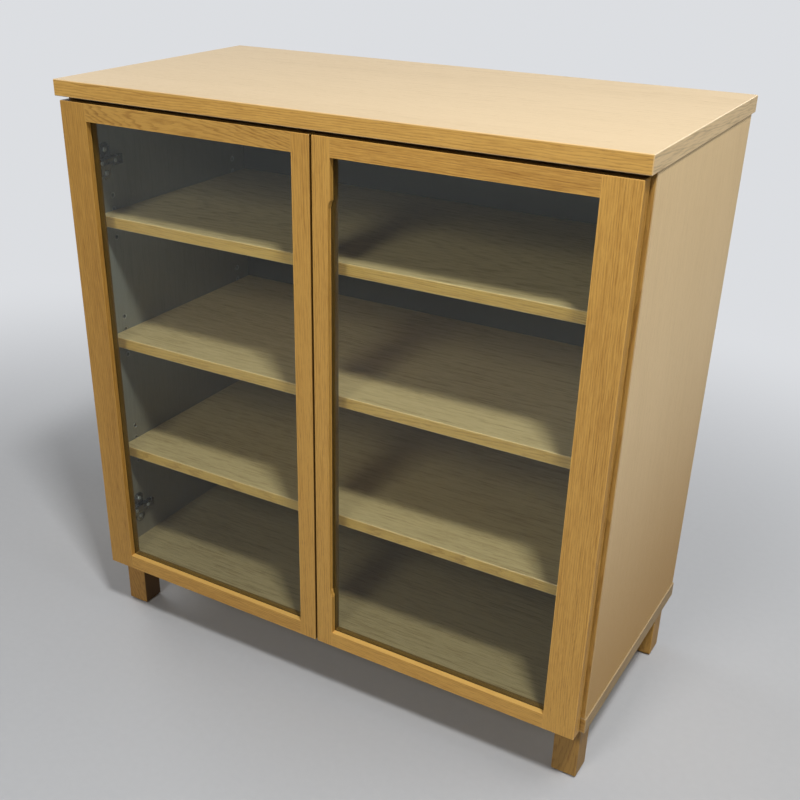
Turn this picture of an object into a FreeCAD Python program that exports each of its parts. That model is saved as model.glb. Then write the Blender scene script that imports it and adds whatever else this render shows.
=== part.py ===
import FreeCAD, Part
import math
import os
from FreeCAD import Vector

# Glass-front oak cabinet: a carcass on four short legs, two framed glass doors on concealed
# cup hinges, three shelves on pins. Millimetres, +Z up, front towards -Y.
# The origin is the centre of the footprint, on the floor.

# Overall size
width = 800.0
depth = 400.0
height = 830.0

# Boards of the carcass
top_thickness = 21.0
side_thickness = 19.0
bottom_thickness = 23.0
top_side_overhang = 1.5
top_front_overhang = 23.0
top_rear_overhang = 11.5
bottom_side_ledge = 1.5
bottom_rear_ledge = 1.5
board_arris = 0.8

# Back panel, held in grooves
back_thickness = 5.0
back_inset = 10.0
groove_depth = 6.0
groove_clearance = 0.2

# Legs and glides
leg_height = 88.0
leg_size = 35.0
leg_side_inset = 7.6
leg_front_inset = 9.0
leg_rear_inset = 15.0
leg_arris = 1.0
glide_radius = 11.0
glide_thickness = 2.0
glide_nail_radius = 1.2
glide_nail_length = 14.0
leg_bolt_radius = 4.0
leg_bolt_in_leg = 34.0
leg_bolt_in_board = 16.0

# Dowels of the carcass
dowel_radius = 4.0
dowel_in_panel = 26.0
dowel_in_board = 13.0
dowel_end_inset = 50.0
dowels_per_edge = 3
hole_clearance = 0.1
hole_spare_depth = 1.0

# Shelves and what they rest on
shelf_thickness = 16.0
shelf_front_inset = 17.0
shelf_end_clearance = 1.2
shelf_rear_clearance = 1.5
shelf_arris = 0.8
lowest_shelf_drop = 5.0
shelf_names = ("shelf_lower", "shelf_middle", "shelf_upper")
pin_line_inset = 46.0
pin_head_radius = 4.0
pin_head_length = 7.0
pin_peg_radius = 2.45
pin_peg_length = 8.0
pin_notch_depth = 1.0
pin_notch_clearance = 0.1
pin_notch_spare_length = 1.5
sleeve_radius = 3.5
sleeve_length = 9.0
sleeve_bore_radius = 2.5
sleeve_proud = 0.4
sleeve_pitch = 20.0
sleeves_below_shelf = 1
sleeves_per_shelf = 4

# Doors
door_thickness = 20.0
door_back_gap = 2.0
door_side_reveal = 5.5
door_top_gap = 5.0
door_bottom_rise = 2.0
meeting_gap = 3.0
outer_stile_width = 43.5
meeting_stile_width = 25.2
top_rail_width = 23.0
bottom_rail_width = 23.5
door_front_arris = 0.8
door_back_arris = 2.0
front_lip = 8.0
rebate_width = 7.0
glass_thickness = 3.0
glass_edge_clearance = 1.0
door_dowel_radius = 3.0
door_dowel_length = 32.0
bumper_radius = 4.0
bumper_thickness = 1.7
bumper_end_inset = 30.0
bumper_spacing = 180.0

# Finger pull on the glass side of the right door's meeting stile
pull_from_bottom = 95.0
pull_from_top = 83.0
pull_cut_back = 2.8
pull_runout = 10.0
pull_cove_radius = 3.3
pull_cove_reach = 1.5
pull_lip = 2.4

# Concealed hinges: the cup is let into the door, the arm is clipped to a plate on the side
hinge_from_top = 88.0
hinge_from_bottom = 76.0
hinge_axis_inset = 6.3
hinge_axis_depth = 8.5
cup_radius = 13.0
cup_edge_distance = 3.0
cup_depth = 11.5
cup_wall = 0.6
cup_floor = 0.7
cup_rim = 1.2
cup_wing_length = 24.0
cup_wing_width = 17.0
cup_wing_corner = 4.0
cup_bore_clearance = 0.1
cup_screw_spacing = 38.0
cup_screw_offset = 5.0
cup_screw_radius = 1.6
cup_screw_length = 11.0
cup_screw_head_radius = 3.2
cup_screw_head = 1.1
hinge_pin_radius = 0.95
hinge_pin_overhang = 3.6
hinge_pin_clearance = 0.04
lug_gap = 0.4
lug_thickness = 3.4
lug_reach = 2.2
eye_radius = 1.9
finger_height = 7.0
finger_thickness = 2.0
finger_leg_inset = 19.5
finger_bend = 2.9
finger_tail = 12.0
arm_length = 60.0
arm_web = 1.2
arm_width = 12.8
arm_flange_clearance = 1.0
arm_front_gap = 4.0
plate_base = 2.0
plate_base_depth = 18.0
plate_base_height = 50.0
plate_base_corner = 5.0
plate_setback = 37.0
plate_rail_width = 10.0
plate_rail_front = 9.0
plate_rail_length = 50.0
plate_screw_spacing = 32.0
plate_screw_radius = 2.0
plate_screw_length = 13.0
plate_screw_head_radius = 3.6
plate_screw_head = 1.5
arm_screw_radius = 1.8
arm_screw_length = 3.6
arm_screw_head_radius = 3.1
arm_screw_head = 1.2
arm_screw_setbacks = (24.0, 50.0)

# Number of sides of hidden pegs, shanks and their holes, of small round heads, and of hinge cups
hidden_sides = 6
head_sides = 10
cup_sides = 24
full_turn = 360.0
cut_overrun = 2.0

# Places that follow from the sizes
front_y = -depth / 2
rear_y = depth / 2
carcass_front = front_y + top_front_overhang
carcass_rear = rear_y - top_rear_overhang
side_outer = width / 2 - top_side_overhang
side_inner = side_outer - side_thickness
top_underside = height - top_thickness
board_underside = leg_height
board_top = board_underside + bottom_thickness
board_half = side_outer + bottom_side_ledge
board_rear = carcass_rear + bottom_rear_ledge
back_rear = carcass_rear - back_inset
back_front = back_rear - back_thickness
door_back = carcass_front - door_back_gap
door_front = door_back - door_thickness
door_outer = side_outer - door_side_reveal
door_inner = meeting_gap / 2
door_top = top_underside - door_top_gap
door_bottom = board_underside + door_bottom_rise
glass_front = door_front + front_lip
glass_back = glass_front + glass_thickness
opening_outer = door_outer - outer_stile_width
opening_inner = door_inner + meeting_stile_width
opening_top = door_top - top_rail_width
opening_bottom = door_bottom + bottom_rail_width
pin_lines = (carcass_front + pin_line_inset, carcass_rear - pin_line_inset)
shelf_count = len(shelf_names)
equal_spacing = (top_underside - board_top + shelf_thickness) / (shelf_count + 1)
shelf_spacing = sleeve_pitch * round(equal_spacing / sleeve_pitch)
lowest_shelf_underside = board_top + shelf_spacing - shelf_thickness - lowest_shelf_drop
shelf_undersides = [lowest_shelf_underside + shelf_spacing * row for row in range(shelf_count)]
hinge_heights = {"upper": door_top - hinge_from_top, "lower": door_bottom + hinge_from_bottom}
hinge_axis_x = -door_outer + hinge_axis_inset
hinge_axis_y = door_back - hinge_axis_depth
cup_x = -door_outer + cup_edge_distance + cup_radius
pull_low = door_bottom + pull_from_bottom
pull_high = door_top - pull_from_top


def block(x0, x1, y0, y1, z0, z1):
    """A box between two corners."""
    return Part.makeBox(x1 - x0, y1 - y0, z1 - z0, Vector(x0, y0, z0))


def rod_x(radius, x0, x1, y, z):
    return Part.makeCylinder(radius, x1 - x0, Vector(x0, y, z), Vector(1, 0, 0))


def rod_z(radius, x, y, z0, z1):
    return Part.makeCylinder(radius, z1 - z0, Vector(x, y, z0))


def prism(radius, start, end, sides):
    """A few-sided rod between two points on a line along X, Y or Z."""
    run = end - start
    corner = Vector(run.y, run.z, run.x).normalize() * radius
    corners = []
    for side in range(sides):
        turn = FreeCAD.Rotation(run, (side + 1 / 2) * full_turn / sides)
        corners.append(start + turn.multVec(corner))
    return Part.Face(Part.makePolygon(corners + corners[:1])).extrude(run)


def prism_x(radius, x0, x1, y, z, sides=hidden_sides):
    return prism(radius, Vector(x0, y, z), Vector(x1, y, z), sides)


def prism_y(radius, x, y0, y1, z, sides=hidden_sides):
    return prism(radius, Vector(x, y0, z), Vector(x, y1, z), sides)


def prism_z(radius, x, y, z0, z1, sides=hidden_sides):
    return prism(radius, Vector(x, y, z0), Vector(x, y, z1), sides)


def round_it(radius, sides):
    """The corner radius of a few-sided shape whose flats lie at a radius."""
    return radius / math.cos(math.pi / sides)


def mirrored(shape):
    """The same piece on the other side of the cabinet."""
    return shape.mirror(Vector(0, 0, 0), Vector(1, 0, 0))


def edges_along(shape, direction, keep):
    """The straight edges along a direction whose middle passes the test."""
    found = []
    for edge in shape.Edges:
        if len(edge.Vertexes) != 2:
            continue
        ends = [vertex.Point for vertex in edge.Vertexes]
        run = (ends[1] - ends[0]).normalize()
        if abs(run.dot(direction)) > 1 - Part.Precision.angular() and keep((ends[0] + ends[1]) / 2):
            found.append(edge)
    return found


def eased(shape, size, keep):
    """Take the sharp corner off the edges whose middle passes the test."""
    picked = []
    for direction in (Vector(1, 0, 0), Vector(0, 1, 0), Vector(0, 0, 1)):
        picked += edges_along(shape, direction, keep)
    return shape.makeChamfer(size, picked)


def clipped(plate, through, corner):
    """A plate with its four corners cut off, seen along the direction through it."""
    return plate.makeChamfer(corner, edges_along(plate, through, lambda middle: True))


def dowel_places():
    """The depths at which a board is dowelled to a side panel."""
    first = carcass_front + dowel_end_inset
    last = back_front - dowel_end_inset
    step = (last - first) / (dowels_per_edge - 1)
    return [first + step * place for place in range(dowels_per_edge)]


def sleeve_heights():
    """The heights of the pin sleeves: a few positions about each shelf."""
    heights = []
    for underside in shelf_undersides:
        for place in range(sleeves_per_shelf):
            heights.append(pin_height(underside) + sleeve_pitch * (place - sleeves_below_shelf))
    return heights


def pin_height(underside):
    """The pins' heads reach into notches under the shelf."""
    return underside + pin_notch_depth - pin_head_radius


def leg_centres():
    """The legs in order: front left, front right, rear left, rear right."""
    x = board_half - leg_side_inset - leg_size / 2
    front = carcass_front + leg_front_inset + leg_size / 2
    rear = board_rear - leg_rear_inset - leg_size / 2
    return {"front_left": (-x, front), "front_right": (x, front),
            "rear_left": (-x, rear), "rear_right": (x, rear)}


def carcass_dowel_centres():
    x = side_outer - side_thickness / 2
    return [(side * x, y) for side in (-1, 1) for y in dowel_places()]


def top_board():
    board = block(-width / 2, width / 2, front_y, rear_y, top_underside, height)
    board = eased(board, board_arris, lambda middle: True)
    board = board.cut(back_groove(top_underside - cut_overrun, top_underside + groove_depth))
    hole_top = top_underside + dowel_in_board + hole_spare_depth
    for x, y in carcass_dowel_centres():
        board = board.cut(prism_z(dowel_radius + hole_clearance, x, y, top_underside - cut_overrun, hole_top))
    return board


def bottom_board():
    board = block(-board_half, board_half, carcass_front, board_rear, board_underside, board_top)
    board = eased(board, board_arris, lambda middle: True)
    board = board.cut(back_groove(board_top - groove_depth, board_top + cut_overrun))
    hole_bottom = board_top - dowel_in_board - hole_spare_depth
    for x, y in carcass_dowel_centres():
        board = board.cut(prism_z(dowel_radius + hole_clearance, x, y, hole_bottom, board_top + cut_overrun))
    bolt_top = board_underside + leg_bolt_in_board + hole_spare_depth
    for x, y in leg_centres().values():
        hole = prism_z(leg_bolt_radius + hole_clearance, x, y, board_underside - cut_overrun, bolt_top)
        board = board.cut(hole)
    return board


def back_groove(z0, z1):
    """The groove for the back panel in the top or bottom board."""
    half = side_inner + groove_depth
    return block(-half, half, back_front - groove_clearance, back_rear + groove_clearance, z0, z1)


def back_panel():
    half = side_inner + groove_depth - groove_clearance
    low = board_top - groove_depth + groove_clearance
    high = top_underside + groove_depth - groove_clearance
    return block(-half, half, back_front, back_rear, low, high)


def side_panel():
    """The left panel, with its groove, dowel holes, sleeve holes and screw holes."""
    panel = block(-side_outer, -side_inner, carcass_front, carcass_rear, board_top, top_underside)
    panel = eased(panel, board_arris, lambda middle: outside_corner(middle))
    panel = panel.cut(block(-side_inner - groove_depth, -side_inner + cut_overrun,
                            back_front - groove_clearance, back_rear + groove_clearance,
                            board_top - cut_overrun, top_underside + cut_overrun))
    x = -side_outer + side_thickness / 2
    depth_in = dowel_in_panel + hole_spare_depth
    for y in dowel_places():
        panel = panel.cut(prism_z(dowel_radius + hole_clearance, x, y, board_top - cut_overrun,
                                  board_top + depth_in))
        panel = panel.cut(prism_z(dowel_radius + hole_clearance, x, y, top_underside - depth_in,
                                  top_underside + cut_overrun))
    holes = []
    for y in pin_lines:
        for z in sleeve_heights():
            holes.append(prism_x(sleeve_radius + hole_clearance,
                                 -side_inner - sleeve_length - hole_spare_depth,
                                 -side_inner + cut_overrun, y, z))
    for hinge_z in hinge_heights.values():
        for z in spread(hinge_z, plate_screw_spacing):
            holes.append(prism_x(plate_screw_radius + hole_clearance,
                                 -side_inner + plate_base - plate_screw_length - hole_spare_depth,
                                 -side_inner + cut_overrun, carcass_front + plate_setback, z))
    return panel.cut(Part.makeCompound(holes))


def outside_corner(middle):
    """True on the upright edges and the outer long edges of the left side panel."""
    upright = board_top < middle.z < top_underside
    return upright and middle.x < -side_inner - side_thickness / 2


def spread(centre, spacing):
    return (centre - spacing / 2, centre + spacing / 2)


def carcass_dowels():
    low_ends = (board_top - dowel_in_board, board_top + dowel_in_panel)
    high_ends = (top_underside - dowel_in_panel, top_underside + dowel_in_board)
    pegs = []
    for x, y in carcass_dowel_centres():
        for z0, z1 in (low_ends, high_ends):
            pegs.append(prism_z(dowel_radius, x, y, z0, z1))
    return Part.makeCompound(pegs)


def leg(x, y):
    half = leg_size / 2
    post = block(x - half, x + half, y - half, y + half, glide_thickness, board_underside)
    post = eased(post, leg_arris, lambda middle: middle.z < board_underside)
    bolt_low = board_underside - leg_bolt_in_leg - hole_spare_depth
    bolt_hole = leg_bolt_radius + hole_clearance
    post = post.cut(prism_z(bolt_hole, x, y, bolt_low, board_underside + cut_overrun))
    nail_hole = glide_nail_radius + hole_clearance
    nail_top = glide_thickness + glide_nail_length + hole_spare_depth
    return post.cut(prism_z(nail_hole, x, y, glide_thickness - cut_overrun, nail_top))


def leg_bolts():
    bolts = []
    for x, y in leg_centres().values():
        bolts.append(prism_z(leg_bolt_radius, x, y, board_underside - leg_bolt_in_leg,
                             board_underside + leg_bolt_in_board))
    return Part.makeCompound(bolts)


def foot_glides():
    glides = []
    for x, y in leg_centres().values():
        disc = prism_z(glide_radius, x, y, 0, glide_thickness, head_sides)
        nail = prism_z(glide_nail_radius, x, y, glide_thickness / 2, glide_thickness + glide_nail_length)
        glides.append(disc.fuse(nail).removeSplitter())
    return Part.makeCompound(glides)


def shelf(underside):
    half = side_inner - shelf_end_clearance
    front = carcass_front + shelf_front_inset
    rear = back_front - shelf_rear_clearance
    board = block(-half, half, front, rear, underside, underside + shelf_thickness)
    board = eased(board, shelf_arris, lambda middle: middle.y < front + shelf_thickness)
    notch_start = side_inner - pin_reach() - pin_notch_spare_length
    for side in (-1, 1):
        x0, x1 = sorted((side * notch_start, side * (side_inner + cut_overrun)))
        for y in pin_lines:
            board = board.cut(rod_x(pin_head_radius + pin_notch_clearance, x0, x1, y, pin_height(underside)))
    return board


def pin_reach():
    """How far a pin's head stands out of the side panel."""
    return sleeve_proud + pin_head_length


def shelf_pins():
    pins = []
    face = -side_inner + sleeve_proud
    for underside in shelf_undersides:
        for y in pin_lines:
            z = pin_height(underside)
            head = prism_x(pin_head_radius, face, face + pin_head_length, y, z, head_sides)
            pin = head.fuse(prism_x(pin_peg_radius, face - pin_peg_length, face, y, z)).removeSplitter()
            pins += [pin, mirrored(pin)]
    return Part.makeCompound(pins)


def pin_sleeves():
    """The sleeves of the left side panel."""
    sleeves = []
    for y in pin_lines:
        for z in sleeve_heights():
            body = prism_x(sleeve_radius, -side_inner - sleeve_length, -side_inner + sleeve_proud, y, z)
            bore = prism_x(sleeve_bore_radius, -side_inner - sleeve_length - cut_overrun,
                           -side_inner + cut_overrun, y, z)
            sleeves.append(body.cut(bore))
    return Part.makeCompound(sleeves)


# The doors are built on the left and mirrored; only the right one has the finger pull
def outer_stile():
    stile = block(-door_outer, -opening_outer, door_front, door_back, door_bottom, door_top)
    corner = edges_along(stile, Vector(0, 0, 1),
                         lambda middle: middle.x < -opening_outer and middle.y > door_front)
    stile = stile.makeFillet(door_back_arris, corner)
    stile = eased(stile, door_front_arris, lambda middle: middle.x < -opening_outer - door_back_arris
                  and middle.y < door_back - door_back_arris)
    stile = stile.cut(stile_rebate(-opening_outer - rebate_width, -opening_outer + cut_overrun))
    for z in hinge_heights.values():
        stile = stile.cut(cup_bore(z))
    for hole in door_dowel_rods(door_dowel_radius + hole_clearance, hole_spare_depth):
        stile = stile.cut(hole)
    return stile


def stile_rebate(x0, x1):
    """The stopped rebate that takes the edge of the glass and its beads."""
    return block(x0, x1, glass_front, door_back + cut_overrun,
                 opening_bottom - rebate_width, opening_top + rebate_width)


def cup_bore(z):
    low = door_back - cup_depth - cup_bore_clearance
    bore = prism_y(cup_radius + cup_bore_clearance, cup_x, low, door_back + cut_overrun, z, cup_sides)
    holes = [bore]
    for screw_z in spread(z, cup_screw_spacing):
        tip = door_back + cup_rim - cup_screw_length - hole_spare_depth
        holes.append(prism_y(cup_screw_radius + hole_clearance, cup_x + cup_screw_offset, tip,
                             door_back + cut_overrun, screw_z))
    return Part.makeCompound(holes)


def meeting_stile():
    stile = block(-opening_inner, -door_inner, door_front, door_back, door_bottom, door_top)
    stile = eased(stile, door_front_arris, lambda middle: middle.x > -opening_inner + door_front_arris
                  and middle.y < door_back)
    stile = stile.cut(stile_rebate(-opening_inner - cut_overrun, -opening_inner + rebate_width))
    for hole in door_dowel_rods(door_dowel_radius + hole_clearance, hole_spare_depth):
        stile = stile.cut(hole)
    return stile


def finger_pull():
    """What is cut from the right door's meeting stile: the arris is set back between two curved
    run-outs, and a cove behind it leaves a lip for the fingertips."""
    set_back = opening_inner - pull_cut_back
    mid_share = 0.5
    low_end = pull_low - pull_runout
    high_end = pull_high + pull_runout
    low_bend = arc_through(opening_inner, low_end, set_back, pull_low, mid_share)
    high_bend = arc_through(set_back, pull_high, opening_inner, high_end, mid_share)
    outside = opening_inner + cut_overrun
    corners = [Vector(opening_inner, 0, high_end), Vector(outside, 0, high_end),
               Vector(outside, 0, low_end), Vector(opening_inner, 0, low_end)]
    straight = Part.makeLine(Vector(set_back, 0, pull_low), Vector(set_back, 0, pull_high))
    border = [low_bend, straight, high_bend]
    border += [Part.makeLine(corners[place], corners[place + 1]) for place in range(len(corners) - 1)]
    face = Part.Face(Part.Wire(Part.__sortEdges__(border)))
    face.translate(Vector(0, door_front - cut_overrun, 0))
    arris_cut = face.extrude(Vector(0, front_lip + cut_overrun, 0))
    cove_x = set_back - pull_cove_reach + pull_cove_radius
    cove_y = door_front + pull_lip + pull_cove_radius
    cove = rod_z(pull_cove_radius, cove_x, cove_y, pull_low, pull_high)
    for z in (pull_low, pull_high):
        cove = cove.fuse(Part.makeSphere(pull_cove_radius, Vector(cove_x, cove_y, z)))
    return arris_cut.fuse(cove)


def arc_through(x0, z0, x1, z1, mid_share):
    """A shallow arc between two points in X and Z that leaves the straight part smoothly."""
    along = z1 - z0
    across = x1 - x0
    sag = abs(across) * mid_share * mid_share
    middle_x = min(x0, x1) + sag
    middle = Vector(middle_x, 0, z0 + along * mid_share)
    return Part.Arc(Vector(x0, 0, z0), middle, Vector(x1, 0, z1)).toShape()


def rail(low, high, rebate_low, rebate_high):
    bar = block(-opening_outer, -opening_inner, door_front, door_back, low, high)
    bar = bar.cut(block(-opening_outer - cut_overrun, -opening_inner + cut_overrun, glass_front,
                        door_back + cut_overrun, rebate_low, rebate_high))
    for hole in door_dowel_rods(door_dowel_radius + hole_clearance, hole_spare_depth):
        bar = bar.cut(hole)
    return bar


def top_rail():
    bar = rail(opening_top, door_top, opening_top - cut_overrun, opening_top + rebate_width)
    return eased(bar, door_front_arris,
                 lambda middle: middle.z > opening_top + rebate_width and long_front_edge(middle))


def bottom_rail():
    bar = rail(door_bottom, opening_bottom, opening_bottom - rebate_width, opening_bottom + cut_overrun)
    return eased(bar, door_front_arris,
                 lambda middle: middle.z < opening_bottom - rebate_width and long_front_edge(middle))


def long_front_edge(middle):
    """True on the front edges that run the length of a rail."""
    rail_middle = -(opening_outer + opening_inner) / 2
    return middle.y < glass_front and abs(middle.x - rail_middle) < rebate_width


def door_dowel_rods(radius, spare):
    """One dowel at each corner of the left door frame, in the full-thickness part of the rails."""
    y = (door_front + door_back) / 2
    heights = ((door_bottom + opening_bottom - rebate_width) / 2, (door_top + opening_top + rebate_width) / 2)
    reach = door_dowel_length / 2 + spare
    rods = []
    for x in (-opening_outer, -opening_inner):
        rods += [prism_x(radius, x - reach, x + reach, y, z) for z in heights]
    return rods


def glass():
    grow = rebate_width - glass_edge_clearance
    return block(-opening_outer - grow, -opening_inner + grow, glass_front, glass_back,
                 opening_bottom - grow, opening_top + grow)


def glass_beads():
    """Four mitred beads behind the glass, flush with the door's back."""
    outer = [(-opening_outer - rebate_width, opening_bottom - rebate_width),
             (-opening_inner + rebate_width, opening_bottom - rebate_width),
             (-opening_inner + rebate_width, opening_top + rebate_width),
             (-opening_outer - rebate_width, opening_top + rebate_width)]
    inner = [(-opening_outer, opening_bottom), (-opening_inner, opening_bottom),
             (-opening_inner, opening_top), (-opening_outer, opening_top)]
    beads = []
    for side in range(len(outer)):
        after = (side + 1) % len(outer)
        corners = [outer[side], outer[after], inner[after], inner[side], outer[side]]
        wire = Part.makePolygon([Vector(x, glass_back, z) for x, z in corners])
        beads.append(Part.Face(wire).extrude(Vector(0, door_back - glass_back, 0)))
    return Part.makeCompound(beads)


def door_bumpers():
    """Clear dots behind the bottom rail that meet the edge of the bottom board."""
    z = (door_bottom + opening_bottom - rebate_width) / 2
    dots = []
    for x in (-opening_inner - bumper_end_inset, -opening_inner - bumper_end_inset - bumper_spacing):
        dots.append(prism_y(bumper_radius, x, door_back, door_back + bumper_thickness, z, head_sides))
    return Part.makeCompound(dots)


# Hinges, built for the left door at the height z
def hinge_cup(z):
    """A pressed cup with a rim, two screw wings and two lugs for the pin."""
    low = door_back - cup_depth
    top = door_back + cup_rim
    shell = prism_y(cup_radius, cup_x, low, top, z, cup_sides)
    wing_x = cup_x + cup_screw_offset
    wings = block(wing_x - cup_wing_width / 2, wing_x + cup_wing_width / 2, door_back, top,
                  z - cup_wing_length, z + cup_wing_length)
    hollow = prism_y(cup_radius - cup_wall, cup_x, low + cup_floor, top + cut_overrun, z, cup_sides)
    cup = shell.fuse(clipped(wings, Vector(0, 1, 0), cup_wing_corner)).cut(hollow)
    lug_near = finger_height / 2 + lug_gap
    lug_top = hinge_axis_y + lug_reach
    for side in (-1, 1):
        z0, z1 = sorted((z + side * lug_near, z + side * (lug_near + lug_thickness)))
        lug = block(cup_x - cup_radius, hinge_axis_x + lug_reach, low + cup_floor / 2, lug_top, z0, z1)
        inside = prism_y(cup_radius - cup_wall / 2, cup_x, low, top, z, cup_sides)
        cup = cup.fuse(lug.common(inside))
    hole_radius = round_it(hinge_pin_radius + hinge_pin_clearance, hidden_sides)
    pin_hole = prism_z(hole_radius, hinge_axis_x, hinge_axis_y, z - hinge_pin_half(), z + hinge_pin_half())
    cup = cup.cut(pin_hole)
    for screw_z in spread(z, cup_screw_spacing):
        cup = cup.cut(prism_y(cup_screw_radius + hole_clearance, wing_x, door_back - cut_overrun,
                              top + cut_overrun, screw_z))
    return cup.removeSplitter()


def hinge_pin_half():
    return finger_height / 2 + hinge_pin_overhang


def hinge_pin(z):
    return rod_z(hinge_pin_radius, hinge_axis_x, hinge_axis_y, z - hinge_pin_half(), z + hinge_pin_half())


def cup_screws():
    screws = []
    face = door_back + cup_rim
    x = cup_x + cup_screw_offset
    for hinge_z in hinge_heights.values():
        for z in spread(hinge_z, cup_screw_spacing):
            head = prism_y(cup_screw_head_radius, x, face, face + cup_screw_head, z, head_sides)
            shank = prism_y(cup_screw_radius, x, face - cup_screw_length, face, z)
            screws.append(head.fuse(shank).removeSplitter())
    return Part.makeCompound(screws)


def hinge_arm(z):
    """The arm: a channel over the plate's rail, and a curved finger that dips into the cup and
    ends in the eye on the pin."""
    leg_near = -door_outer + finger_leg_inset
    leg_far = leg_near + finger_thickness
    run_top = hinge_axis_y - eye_radius + finger_thickness
    run_low = hinge_axis_y - eye_radius
    tail = carcass_front + finger_tail
    outer_bend = finger_bend + finger_thickness / 2
    inner_bend = finger_bend - finger_thickness / 2
    diagonal_share = 1 - math.sqrt(1 / 2)
    outline = [
        Part.makeLine(Vector(hinge_axis_x, run_low, 0), Vector(leg_far - outer_bend, run_low, 0)),
        Part.Arc(Vector(leg_far - outer_bend, run_low, 0),
                 Vector(leg_far - outer_bend * diagonal_share, run_low + outer_bend * diagonal_share, 0),
                 Vector(leg_far, run_low + outer_bend, 0)).toShape(),
        Part.makeLine(Vector(leg_far, run_low + outer_bend, 0), Vector(leg_far, tail, 0)),
        Part.makeLine(Vector(leg_far, tail, 0), Vector(leg_near, tail, 0)),
        Part.makeLine(Vector(leg_near, tail, 0), Vector(leg_near, run_top + inner_bend, 0)),
        Part.Arc(Vector(leg_near, run_top + inner_bend, 0),
                 Vector(leg_near - inner_bend * diagonal_share, run_top + inner_bend * diagonal_share, 0),
                 Vector(leg_near - inner_bend, run_top, 0)).toShape(),
        Part.makeLine(Vector(leg_near - inner_bend, run_top, 0), Vector(hinge_axis_x, run_top, 0)),
        Part.makeLine(Vector(hinge_axis_x, run_top, 0), Vector(hinge_axis_x, run_low, 0)),
    ]
    finger = Part.Face(Part.Wire(outline)).extrude(Vector(0, 0, finger_height))
    finger.translate(Vector(0, 0, z - finger_height / 2))
    eye = prism_z(round_it(eye_radius, head_sides), hinge_axis_x, hinge_axis_y, z - finger_height / 2,
                  z + finger_height / 2, head_sides)
    front = carcass_front + arm_front_gap
    channel = block(leg_far - arm_web, leg_far, front, front + arm_length,
                    z - arm_width / 2, z + arm_width / 2)
    flange_edge = -side_inner + plate_base + arm_flange_clearance
    for side in (-1, 1):
        z0, z1 = sorted((z + side * (arm_width / 2 - arm_web), z + side * arm_width / 2))
        channel = channel.fuse(block(flange_edge, leg_far, front, front + arm_length, z0, z1))
    arm = channel.fuse(finger).fuse(eye)
    # The finger's tail lies over the rail, so it is thinned to the web there
    rail_start = carcass_front + plate_rail_front
    arm = arm.cut(block(leg_near - cut_overrun, leg_far - arm_web, rail_start, rail_start + plate_rail_length,
                        z - finger_height / 2, z + finger_height / 2))
    arm = arm.cut(rod_z(hinge_pin_radius + hinge_pin_clearance, hinge_axis_x, hinge_axis_y,
                        z - finger_height, z + finger_height))
    for setback in arm_screw_setbacks:
        arm = arm.cut(prism_x(arm_screw_radius + hole_clearance, leg_far - arm_web - cut_overrun,
                              leg_far + cut_overrun, carcass_front + setback, z))
    return arm.removeSplitter()


def hinge_plate(z):
    """A cross plate screwed to the side panel, with the rail that the arm is clipped to."""
    face = -side_inner
    middle = carcass_front + plate_setback
    base = block(face, face + plate_base, middle - plate_base_depth / 2, middle + plate_base_depth / 2,
                 z - plate_base_height / 2, z + plate_base_height / 2)
    base = clipped(base, Vector(1, 0, 0), plate_base_corner)
    rail_start = carcass_front + plate_rail_front
    rail_top = -door_outer + finger_leg_inset + finger_thickness - arm_web
    ridge = block(face, rail_top, rail_start, rail_start + plate_rail_length,
                  z - plate_rail_width / 2, z + plate_rail_width / 2)
    plate = base.fuse(ridge)
    for screw_z in spread(z, plate_screw_spacing):
        plate = plate.cut(prism_x(plate_screw_radius + hole_clearance, face - cut_overrun,
                                  face + plate_base + cut_overrun, middle, screw_z))
    for setback in arm_screw_setbacks:
        plate = plate.cut(prism_x(arm_screw_radius + hole_clearance,
                                  rail_top + arm_web - arm_screw_length - hole_spare_depth,
                                  rail_top + cut_overrun, carcass_front + setback, z))
    return plate.removeSplitter()


def plate_screws():
    screws = []
    face = -side_inner + plate_base
    y = carcass_front + plate_setback
    for hinge_z in hinge_heights.values():
        for z in spread(hinge_z, plate_screw_spacing):
            head = prism_x(plate_screw_head_radius, face, face + plate_screw_head, y, z, head_sides)
            shank = prism_x(plate_screw_radius, face - plate_screw_length, face, y, z)
            screw = head.fuse(shank).removeSplitter()
            screws += [screw, mirrored(screw)]
    return Part.makeCompound(screws)


def arm_screws():
    screws = []
    face = -door_outer + finger_leg_inset + finger_thickness
    for z in hinge_heights.values():
        for setback in arm_screw_setbacks:
            y = carcass_front + setback
            head = prism_x(arm_screw_head_radius, face, face + arm_screw_head, y, z, head_sides)
            shank = prism_x(arm_screw_radius, face - arm_screw_length, face, y, z)
            screw = head.fuse(shank).removeSplitter()
            screws += [screw, mirrored(screw)]
    return Part.makeCompound(screws)


def carcass_pieces():
    pieces = {"top_board": top_board(), "bottom_board": bottom_board(), "back_panel": back_panel(),
              "side_panel_left": side_panel(), "carcass_dowels": carcass_dowels(),
              "leg_bolts": leg_bolts(), "foot_glides": foot_glides(), "shelf_pins": shelf_pins(),
              "pin_sleeves_left": pin_sleeves(), "hinge_plate_screws": plate_screws(),
              "hinge_arm_screws": arm_screws()}
    pieces["side_panel_right"] = mirrored(pieces["side_panel_left"])
    pieces["pin_sleeves_right"] = mirrored(pieces["pin_sleeves_left"])
    for name, centre in leg_centres().items():
        pieces["leg_" + name] = leg(*centre)
    for name, underside in zip(shelf_names, shelf_undersides):
        pieces[name] = shelf(underside)
    for place, z in hinge_heights.items():
        arm = hinge_arm(z)
        plate = hinge_plate(z)
        pieces["hinge_arm_left_" + place] = arm
        pieces["hinge_arm_right_" + place] = mirrored(arm)
        pieces["hinge_plate_left_" + place] = plate
        pieces["hinge_plate_right_" + place] = mirrored(plate)
    return pieces


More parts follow.
